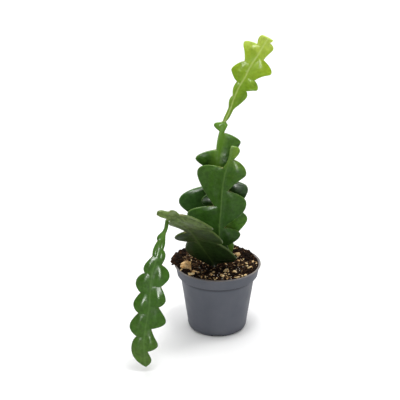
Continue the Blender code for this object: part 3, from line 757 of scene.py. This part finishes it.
def make_soil_bed(finish):
    """The fill of the pot, down to its floor, with a fine lumpy top."""
    side = [point for point in pot_inner_side(GAP) if point[1] < SOIL_LEVEL]
    rim = inner_radius(SOIL_LEVEL - SOIL_ROUGHNESS) - GAP
    top = [(rim * (1 - number / SOIL_RINGS), SOIL_LEVEL) for number in range(SOIL_RINGS + 1)]
    shape = spin_profile([(0, side[-1][1]), *reversed(side), *top], SOIL_SIDES)
    for vert in shape.verts:
        if vert.co.z > SOIL_LEVEL - 0.1:
            grit = SOIL_GRAIN * noise.fractal(vert.co / 2.2, 0.8, 2.0, 3)
            vert.co.z = soil_height(vert.co.x, vert.co.y) + grit
    add_piece("soil_bed", shape, finish, "soil")


def smooth_route(points):
    """Positions, headings and distances along a Catmull-Rom curve through the route's points."""
    rows = np.array(points, float)
    rows = np.vstack([2 * rows[0] - rows[1], rows, 2 * rows[-1] - rows[-2]])
    curve = []
    for before, start, end, after in zip(rows, rows[1:], rows[2:], rows[3:]):
        for t in np.linspace(0, 1, ROUTE_STEPS, endpoint=False):
            bend = 2 * before - 5 * start + 4 * end - after
            twist = 3 * start - before - 3 * end + after
            curve.append(0.5 * (2 * start + (end - before) * t + bend * t**2 + twist * t**3))
    curve.append(rows[-2])
    curve = np.array(curve)
    steps = np.linalg.norm(np.diff(curve[:, :3], axis=0), axis=1)
    return curve[:, :3], np.radians(curve[:, 3]), np.concatenate([[0], np.cumsum(steps)])


class Route:
    """A stem's midrib: the place, and the across and face directions, at any distance along it."""

    def __init__(self, points):
        self.places, self.headings, self.distances = smooth_route(points)
        self.length = self.distances[-1]
        self.tangents = np.gradient(self.places, self.distances, axis=0)

    def at(self, distance):
        """(place, across, face) at a distance, which may run straight on past either end."""
        inside = min(max(distance, 0), self.length)
        place, tangent = (
            Vector([float(np.interp(inside, self.distances, column)) for column in rows.T])
            for rows in (self.places, self.tangents)
        )
        tangent.normalize()
        heading = float(np.interp(inside, self.distances, self.headings))
        across = Vector((math.cos(heading), math.sin(heading), 0))
        across = (across - across.dot(tangent) * tangent).normalized()
        return place + tangent * (distance - inside), across, across.cross(tangent)


def lobed_edge(lobes, distance):
    """(distance along the stem, reach, share of the lobe's swell) of a station's edge point."""
    for (start, low), (tip, reach), (end, high) in zip(lobes[::2], lobes[1::2], lobes[2::2]):
        if distance <= end or end == lobes[-1][0]:
            break
    share = min(max((distance - start) / (end - start), 0), 1)
    peak = min(max((tip - start) / (end - start), LOBE_PEAK[0]), LOBE_PEAK[1])
    swell = 0
    if 0 < share < 1:
        swell = math.sin(math.pi * share ** (math.log(0.5) / math.log(peak))) ** LOBE_FULLNESS
    floor = low + (high - low) * share
    lean = tip - (start + peak * (end - start))
    return distance + lean * swell, floor + (reach - floor) * swell, swell


def stations(spec, start, length):
    """Distances along the stem at which it gets a ring: even steps, and closer ones beside each notch."""
    places = set(np.arange(start, length, STATION_STEP)) | {start, length}
    for side in ("left", "right"):
        for place, _ in spec[side][::2]:
            for step in (0, *NOTCH_STEPS):
                places |= {place - step, place + step}
    rows = []
    for place in sorted(place for place in places if start <= place <= length):
        if not rows or place - rows[-1] > LEAST_STEP:
            rows.append(place)
    return rows


def half_thickness(spec, offset, reach, swell):
    """Half of the stem's thickness: a blade with a round edge, plump within each lobe, and a rib."""
    blade = min(spec["thickness"] / 2, 0.9 * reach)
    inset = min(max((reach - offset) / blade, 0), 1)
    rounding = math.sqrt(1 - (1 - inset) ** 2)
    plump = 1 + PILLOW * swell * math.sin(math.pi * offset / reach) ** 2
    rib = (spec["rib"] / 2 - spec["thickness"] / 2) * math.exp(-((offset / spec["rib_width"]) ** 2))
    return blade * rounding * plump + max(rib, 0) * math.sqrt(max(1 - (offset / reach) ** 2, 0))


def columns(spec, reach):
    """Offsets from the midrib to one edge, close over the rib and at the round edge, even between."""
    blade = min(spec["thickness"] / 2, 0.5 * reach)
    flat = reach - blade
    near = [
        min(offset, flat * (number + 1) / (len(RIB_COLUMNS) + 2)) for number, offset in enumerate(RIB_COLUMNS)
    ]
    even = [near[-1] + (flat - near[-1]) * (number + 1) / BLADE_COLUMNS for number in range(BLADE_COLUMNS)]
    turns = [math.pi / 2 * (number + 1) / ROUND_COLUMNS for number in range(ROUND_COLUMNS)]
    return near + even + [flat + blade * math.sin(turn) for turn in turns]


def sway(spec, sign, offset, distance):
    """How far a blade stands out of flat at an offset from its midrib: its cup, then its waves."""
    arch = spec["cup"] * (offset / BLADE_REACH) ** 2
    return arch + spec["wave"] * (offset / BLADE_REACH) * math.sin(distance / RIPPLE + sign)


def ring_points(spec, route, distance):
    """A stem's skin at one station, right edge over the front to the left and back: (point, marks)."""
    along = min(max(distance / route.length, 0), 1)
    front, back = [], []
    for side, sign in (("right", 1), ("left", -1)):
        edge_distance, reach, swell = lobed_edge(spec[side], distance)
        notch = math.exp(-((swell / 0.35) ** 2))
        fold = spec.get("pucker", PUCKER) * swell * min(reach / BLADE_REACH, 1)
        row = []
        for offset in columns(spec, reach)[::-1]:
            share = offset / reach
            place, across, face = route.at(distance + (edge_distance - distance) * share)
            bow = sway(spec, sign, offset, edge_distance) + fold * math.sin(math.pi * share) ** 2
            middle = place + across * sign * offset + face * bow
            half = face * (half_thickness(spec, offset, reach, swell) if share < 0.9999 else 0)
            row.append((middle, half, (sign * offset, reach - offset, along, notch)))
        front.append([(middle + half, marks) for middle, half, marks in row])
        back.append([(middle - half, marks) for middle, half, marks in row[1:]])
    place, _, face = route.at(distance)
    rib = face * spec["rib"] / 2
    marks = (0.0, CLEAR, along, 0.0)
    right, left = front
    right_back, left_back = back
    return right + [(place + rib, marks)] + left[::-1] + left_back + [(place - rib, marks)] + right_back[::-1]


def root_points(spec, route, depth, count):
    """The round foot of a stem, as a ring at a depth below the start of its route."""
    place, across, _ = route.at(0)
    across = Vector((across.x, across.y, 0)).normalized()
    along = Vector((0, 0, 1)).cross(across)
    turns = [math.tau * number / count for number in range(count)]
    return [
        (
            place - Vector((0, 0, depth)) + spec["root"] * (across * math.cos(turn) - along * math.sin(turn)),
            (CLEAR, CLEAR, 0.0, 0.0),
        )
        for turn in turns
    ]


def rounded_end(ring, direction):
    """Rings that close a stem's end in a small dome."""
    middle = sum((point for point, _ in ring), Vector()) / len(ring)
    reach = min(max((point - middle).length for point, _ in ring), END_DOME)
    return [
        [
            (middle + (point - middle) * math.cos(turn) + direction * reach * math.sin(turn), marks)
            for point, marks in ring
        ]
        for turn in DOME_TURNS
    ]


def loft(rings, layers):
    """A closed skin through rings of equal counts: one circle, extruded from each ring to the next."""
    shape = bmesh.new()
    marks = [shape.verts.layers.float.new(name) for name in layers]

    def place_ring(verts, ring):
        for vert, (point, values) in zip(verts, ring):
            vert.co = point
            for layer, value in zip(marks, values):
                vert[layer] = value

    current = bmesh.ops.create_circle(shape, segments=len(rings[0]), radius=1)["verts"]
    edges = list(shape.edges)
    place_ring(current, rings[0])
    bmesh.ops.contextual_create(shape, geom=edges)
    for ring in rings[1:]:
        grown = bmesh.ops.extrude_edge_only(shape, edges=edges)["geom"]
        fresh = {item for item in grown if isinstance(item, bmesh.types.BMVert)}
        edges = [
            item for item in grown if isinstance(item, bmesh.types.BMEdge) and fresh.issuperset(item.verts)
        ]
        above = {edge.other_vert(vert): vert for vert in fresh for edge in vert.link_edges}
        current = [above[vert] for vert in current]
        place_ring(current, ring)
    bmesh.ops.contextual_create(shape, geom=edges)
    bmesh.ops.recalc_face_normals(shape, faces=shape.faces)
    return shape


def route_of(name):
    """The route of a stem. A shoot's leads straight off the place where it grows on its parent."""
    spec = STEMS[name]
    if "grows_from" not in spec:
        return Route(spec["route"])
    parent_name, distance, side = spec["grows_from"]
    parent = STEMS[parent_name]
    route = Route(parent["route"])
    distance = min(distance, route.length)
    place, across, face = route.at(distance)
    way, reach = face.cross(across), 0
    if side != "tip":
        way, reach = (-across if side == "left" else across), lobed_edge(parent[side], distance)[1]
    heading = spec["route"][0][3]
    bud = [(*(place + way * (reach + further)), heading) for further in (GAP, SHOOT_NECK)]
    return Route(bud + spec["route"])


def make_stem(name, finish):
    """One stem or shoot: its skin through close rings, with its marks for the finish."""
    spec = STEMS[name]
    route = route_of(name)
    start = 0.0 if spec["root"] else -SHOOT_OVERLAP
    rings = [ring_points(spec, route, distance) for distance in stations(spec, start, route.length)]
    _, across, face = route.at(route.length)
    rings += rounded_end(rings[-1], face.cross(across))
    if spec["root"]:
        feet = [root_points(spec, route, depth, len(rings[0])) for depth in (ROOT_DEPTH, ROOT_SHOULDER)]
        rings = feet + rings
    shape = loft(rings, ("across", "margin", "along", "notch"))
    return add_piece(f"{name}_skin", shape, finish, name)


def stem_notches(name):
    """(place, outward direction) of each notch on a stem's edges."""
    spec = STEMS[name]
    route = route_of(name)
    foot, tip = PAD_FREE_ENDS
    found = []
    for side, sign in (("right", 1), ("left", -1)):
        for distance, reach in spec[side][2::2]:
            if foot < distance < route.length - tip:
                place, across, face = route.at(distance)
                bow = face * sway(spec, sign, reach, distance)
                found.append((place + across * sign * (reach - PAD_INSET) + bow, across * sign))
    return found


def random_lean(rng, about_x, about_y):
    """A random tilt about X, then Y, each up to so many radians."""
    tilt = Matrix.Rotation(rng.uniform(-about_x, about_x), 4, "X")
    return tilt @ Matrix.Rotation(rng.uniform(-about_y, about_y), 4, "Y")


def make_areoles(finish):
    """A felt pad with a few short bristles in every notch."""
    rng = np.random.default_rng(5)
    noise.seed_set(5)  # without it, the vector noise takes its offsets from the clock
    shape = bmesh.new()
    wide, narrow = BRISTLE_RADII
    for place, out in (notch for name in STEMS for notch in stem_notches(name)):
        aim = Matrix.Translation(place) @ out.to_track_quat("Z", "Y").to_matrix().to_4x4()
        size = rng.uniform(*PAD_SIZE)
        squash = Matrix.Diagonal((size, size * 1.15, size * 0.7, 1))
        pad = bmesh.ops.create_icosphere(shape, subdivisions=2, radius=1, matrix=aim @ squash)["verts"]
        for vert in pad:
            vert.co += 0.12 * noise.noise_vector(vert.co * 3)
        for _ in range(rng.integers(*BRISTLES)):
            lean = random_lean(rng, BRISTLE_TILT, BRISTLE_TILT)
            length = rng.uniform(*BRISTLE_LENGTH)
            bmesh.ops.create_cone(
                shape, cap_ends=True, segments=5, radius1=wide, radius2=narrow, depth=length,
                matrix=aim @ lean @ Matrix.Translation((0, 0, 0.5 * length)),
            )
    add_piece("areoles", shape, finish)


def free_spot(rng, trees, size):
    """A random spot on the soil that is clear of the stems, or None."""
    radius = (soil_edge() - size) * math.sqrt(rng.uniform(0.0, 1))
    turn = rng.uniform(0, math.tau)
    x, y = radius * math.cos(turn), radius * math.sin(turn)
    place = Vector((x, y, soil_height(x, y)))
    for tree in trees:
        if tree.find_nearest(place * MM, size * STEM_CLEARANCE * MM)[0] is not None:
            return None
    return place


def lay_down(shape, verts, place, turn, sizes):
    """Stretches a form that is 2 across by its sizes, turns it and sets it down in its place."""
    matrix = Matrix.Translation(place) @ turn @ Matrix.Diagonal((*sizes, 1))
    bmesh.ops.transform(shape, matrix=matrix, verts=verts)


def rough_lump(shape, place, turn, sizes, rng, jag=0.28):
    """A rough stone or crumb, sizes across its three axes, set into a shape. Its vertices come back."""
    verts = bmesh.ops.create_icosphere(shape, subdivisions=1, radius=1)["verts"]
    seed = Vector(rng.uniform(-SEED_SPAN, SEED_SPAN, 3))
    for vert in verts:
        coarse, fine = noise.noise(vert.co * 1.7 + seed), noise.noise(vert.co * 4.1 + seed)
        vert.co *= 1 + jag * coarse + 0.6 * jag * fine
    lay_down(shape, verts, place, turn, sizes)
    return verts


def random_turn(rng, tip=CHIP_TIP):
    """Any turn about Z, after a random tip about X."""
    return Matrix.Rotation(rng.uniform(0, math.tau), 4, "Z") @ Matrix.Rotation(rng.uniform(-tip, tip), 4, "X")


def add_crumb(shape, tint, place, turn, sizes, rng):
    """A crumb that carries its own shade."""
    shade = shape.verts.layers.float["shade"]
    for vert in rough_lump(shape, place, turn, sizes, rng):
        vert[shade] = tint


def heap_spot(rng, turns, reaches, height):
    """(place, crumb size) at random in a heap, which is highest a quarter of the way out."""
    turn = math.radians(rng.uniform(*turns))
    radius = rng.uniform(*reaches)
    x, y = radius * math.cos(turn), radius * math.sin(turn)
    size = rng.uniform(*HEAP_CRUMB_SIZE)
    low, high = reaches
    share = (radius - low) / (high - low)
    ground = soil_height(x, y) if radius < soil_edge() else POT_HEIGHT + 0.4 * size
    lift = rng.uniform(0, 1) * height * min(4 * share, 1) * (1 - share) ** 0.7
    return Vector((x, y, ground + lift)), size


def make_crumbs(trees, finish):
    """Bark and peat crumbs all over the soil and heaped at the rim, in many sizes and shades."""
    rng = np.random.default_rng(21)
    shape = bmesh.new()
    shape.verts.layers.float.new("shade")
    least, most = CRUMB_SIZE
    for _ in range(CRUMBS):
        size = least + (most - least) * rng.uniform(0, 1) ** 2.2
        place = free_spot(rng, trees, size)
        if place is None:
            continue
        sizes = size * rng.uniform(*CRUMB_STRETCH, 3)
        tint = rng.beta(*CRUMB_TINTS)
        place += Vector((0, 0, 0.35 * size))
        add_crumb(shape, tint, place, random_turn(rng, CRUMB_TIP), sizes, rng)
    for turns, reaches, height, count in HEAPS:
        for _ in range(count):
            place, size = heap_spot(rng, turns, reaches, height)
            tint = rng.beta(*CRUMB_TINTS)
            turn = random_turn(rng, CRUMB_TIP)
            add_crumb(shape, tint, place, turn, size * rng.uniform(*CRUMB_STRETCH, 3), rng)
    add_piece("soil_crumbs", shape, finish, smooth=False)


def split_chip(shape, place, turn, sizes, rng, cuts, detail):
    """A broken flake of wood: a block cut by slanted planes, its faces roughened along the grain."""
    chip = bmesh.new()
    grain = chip.loops.layers.uv.new("grain")
    shade = chip.verts.layers.float.new("shade")
    bmesh.ops.create_cube(chip, size=2)
    for _ in range(cuts):
        slant = Vector([rng.normal(0, spread) for spread in CHIP_SLANT]).normalized()
        whole = chip.verts[:] + chip.edges[:] + chip.faces[:]
        bmesh.ops.bisect_plane(
            chip, geom=whole, plane_co=slant * rng.uniform(*CHIP_CUT), plane_no=slant, clear_outer=True,
        )
        bmesh.ops.holes_fill(chip, edges=[edge for edge in chip.edges if edge.is_boundary])
    bmesh.ops.triangulate(chip, faces=chip.faces[:])
    bmesh.ops.subdivide_edges(chip, edges=chip.edges[:], cuts=detail, use_grid_fill=True)
    seed = Vector(rng.uniform(-SEED_SPAN, SEED_SPAN, 3))
    tint = rng.uniform(0, 1)
    for vert in chip.verts:
        along = Vector((vert.co.x * 0.7, vert.co.y * 3.0, vert.co.z * 2.0)) + seed
        vert.co += Vector((0.16, 0.12, 0.2)) * noise.noise(along)
        vert.co *= 1 + 0.14 * noise.noise(vert.co * 1.6 + seed)
        vert[shade] = tint
    long, wide, high = sizes
    for loop in (loop for face in chip.faces for loop in face.loops):
        point = loop.vert.co
        loop[grain].uv = (point.x * long * MM, (point.y * wide + 0.5 * point.z * high) * MM)
    bmesh.ops.recalc_face_normals(chip, faces=chip.faces)
    lay_down(chip, chip.verts, place, turn, sizes)
    mesh = bpy.data.meshes.new("chip")
    chip.to_mesh(mesh)
    chip.free()
    shape.from_mesh(mesh)
    bpy.data.meshes.remove(mesh)


def make_chips(trees, finish):
    """The pale wood chips: those that stand out in the photograph, and smaller ones strewn about."""
    rng = np.random.default_rng(8)
    shape = bmesh.new()
    shape.loops.layers.uv.new("grain")
    shape.verts.layers.float.new("shade")
    for x, y, length, width, degrees in PALE_CHIPS:
        lean, lift, cuts, detail = random_lean(rng, *CHIP_LEAN), 0.6, 5, 2
        if length > BIG_CHIP:
            lean, lift, cuts, detail = Matrix.Rotation(BIG_CHIP_LEAN, 4, "X"), 1.2, 9, 3
        turn = Matrix.Rotation(math.radians(degrees), 4, "Z") @ lean
        height = CHIP_FLATNESS * width
        place = Vector((x, y, soil_height(x, y) + lift * height + 0.4))
        split_chip(shape, place, turn, (length / 2, width / 2, height), rng, cuts, detail)
    least, most = SMALL_CHIP_LENGTH
    for _ in range(SMALL_CHIPS):
        length = least + (most - least) * rng.uniform() ** 2
        place = free_spot(rng, trees, length / 2)
        if place is None:
            continue
        sizes = (length / 2, length * rng.uniform(0.2, 0.4), length * rng.uniform(0.08, 0.2))
        split_chip(shape, place + Vector((0, 0, 0.7)), random_turn(rng), sizes, rng, 3, 1)
    add_piece("wood_chips", shape, finish, smooth=False)


def make_specks(trees, finish):
    """Small white grains of perlite."""
    rng = np.random.default_rng(4)
    shape = bmesh.new()
    for _ in range(SPECKS):
        size = rng.uniform(*SPECK_SIZE)
        place = free_spot(rng, trees, size)
        if place is not None:
            sizes = size * rng.uniform(0.7, 1.2, 3)
            rough_lump(shape, place + Vector((0, 0, 0.9)), random_turn(rng), sizes, rng, jag=0.4)
    add_piece("perlite_grains", shape, finish)


def fibre_foot(rng, trees, number):
    """Where a fibre starts: every third on the heap at the left rim, the others anywhere free, or None."""
    place = free_spot(rng, trees, 1.0)
    if number % 3:
        return place
    x, y = (rng.uniform(*span) for span in HEAP_FIBRES)
    inward = min(1, HEAP_FIBRE_RADIUS / math.hypot(x, y))
    x, y = x * inward, y * inward
    return Vector((x, y, soil_height(x, y)))


def grow_fibre(shape, point, rng):
    """One fibre, drawn out of a small square in bending steps that stay above the soil and off the wall."""
    shade = shape.verts.layers.float["shade"]
    turn, rise = rng.uniform(0, math.tau), rng.uniform(0.0, 0.7)
    heading = Vector((math.cos(turn), math.sin(turn), rise)).normalized()
    bend = Vector(rng.uniform(-0.2, 0.2, 3)) - Vector((0, 0, 0.1))
    step = rng.uniform(*FIBRE_STEP)
    tint = rng.uniform(0, 1)
    thick = FIBRE_RADIUS * rng.uniform(0.6, 1.4)
    square = bmesh.ops.create_circle(shape, segments=4, radius=thick, cap_ends=True)["verts"]
    aim = heading.to_track_quat("Z", "Y").to_matrix().to_4x4()
    bmesh.ops.transform(shape, matrix=Matrix.Translation(point) @ aim, verts=square)
    for vert in square:
        vert[shade] = tint
    face = square[0].link_faces[0]
    for _ in range(FIBRE_STEPS):
        ahead = point + heading * step
        if math.hypot(ahead.x, ahead.y) > soil_edge() and ahead.z < POT_HEIGHT + FIBRE_OVER_RIM:
            heading = Vector((-point.x, -point.y, FIBRE_STEER_RISE)).normalized()
        face = bmesh.ops.extrude_discrete_faces(shape, faces=[face])["faces"][0]
        bmesh.ops.translate(shape, vec=heading * step, verts=face.verts)
        for vert in face.verts:
            vert[shade] = tint
        point = point + heading * step
        heading = (heading + bend).normalized()
        if point.z < soil_height(point.x, point.y) + 0.2 and math.hypot(point.x, point.y) < soil_edge():
            heading = Vector((heading.x, heading.y, abs(heading.z) + 0.15)).normalized()


def make_fibres(trees, finish):
    """Coir fibres: short curved hairs, thickest on the heap at the left rim."""
    rng = np.random.default_rng(15)
    shape = bmesh.new()
    shape.verts.layers.float.new("shade")
    for number in range(FIBRES):
        place = fibre_foot(rng, trees, number)
        if place is not None:
            grow_fibre(shape, place + Vector((0, 0, 0.5)), rng)
    bmesh.ops.remove_doubles(shape, verts=shape.verts, dist=0.01)
    bmesh.ops.recalc_face_normals(shape, faces=shape.faces)
    add_piece("coir_fibres", shape, finish)


def make_plant():
    """All the stems and shoots, then what sits in their notches."""
    finishes = stem_finishes()
    stems = [make_stem(name, finishes[name]) for name in STEMS]
    make_areoles(areole_finish())
    return stems


def make_soil(stems):
    """The soil bed, then all that lies loose on it, clear of the stems."""
    make_soil_bed(soil_finish())
    bpy.context.view_layer.update()
    graph = bpy.context.evaluated_depsgraph_get()
    trees = [BVHTree.FromObject(stem, graph) for stem in stems]
    make_crumbs(trees, crumb_finish())
    make_chips(trees, chip_finish())
    make_specks(trees, speck_finish())
    make_fibres(trees, fibre_finish())


def make_floor():
    """A plain pale studio floor."""
    shape = bmesh.new()
    bmesh.ops.create_grid(shape, x_segments=2, y_segments=2, size=FLOOR_REACH)
    floor = mesh_object("studio_floor", shape)
    paper = Finish("studio_paper", Roughness=0.9, Specular_IOR_Level=0.1)
    stops = [(0.3, (0.9, 0.9, 0.9, 1)), (0.7, (0.93, 0.93, 0.93, 1))]
    paper.colour(paper.shades(paper.grain(5, 2, 0.5), stops))
    floor.data.materials.append(paper.material)


def make_camera():
    """The camera, at the photograph's height and distance, straight in front."""
    lens = bpy.data.cameras.new("photo_camera")
    lens.sensor_fit = "HORIZONTAL"
    lens.sensor_width = SENSOR_WIDTH
    lens.angle = VIEW_ANGLE
    camera = link_object("photo_camera", lens)
    away = Vector((0, -math.cos(ELEVATION), math.sin(ELEVATION)))
    camera.location = TARGET + CAMERA_DISTANCE * away
    camera.rotation_euler = (-away).to_track_quat("-Z", "Y").to_euler()
    bpy.context.scene.camera = camera


def add_softbox(name, place, size, watts, sheen_only):
    """An area light turned to the plant; a sheen box shows in glossy skin without lightening the rest."""
    light = bpy.data.lights.new(name, "AREA")
    light.shape = "RECTANGLE"
    light.size, light.size_y = size
    light.energy = watts
    lamp = link_object(name, light)
    lamp.location = place
    lamp.rotation_euler = (TARGET - Vector(place)).to_track_quat("-Z", "Y").to_euler()
    lamp.visible_camera = False
    lamp.visible_diffuse = not sheen_only


def make_light():
    """A white surround, a soft ceiling and a small box overhead, and two seen only as sheen on the skins."""
    scene = bpy.context.scene
    scene.view_settings.view_transform = "Standard"
    world = bpy.data.worlds.new("white_surround")
    world.use_nodes = True
    sky = world.node_tree.nodes["Background"]
    sky.inputs["Color"].default_value = (1, 1, 1, 1)
    sky.inputs["Strength"].default_value = SURROUND_STRENGTH
    scene.world = world
    for softbox in SOFTBOXES:
        add_softbox(*softbox)


make_camera()
make_light()
make_floor()
make_pot()
make_soil(make_plant())
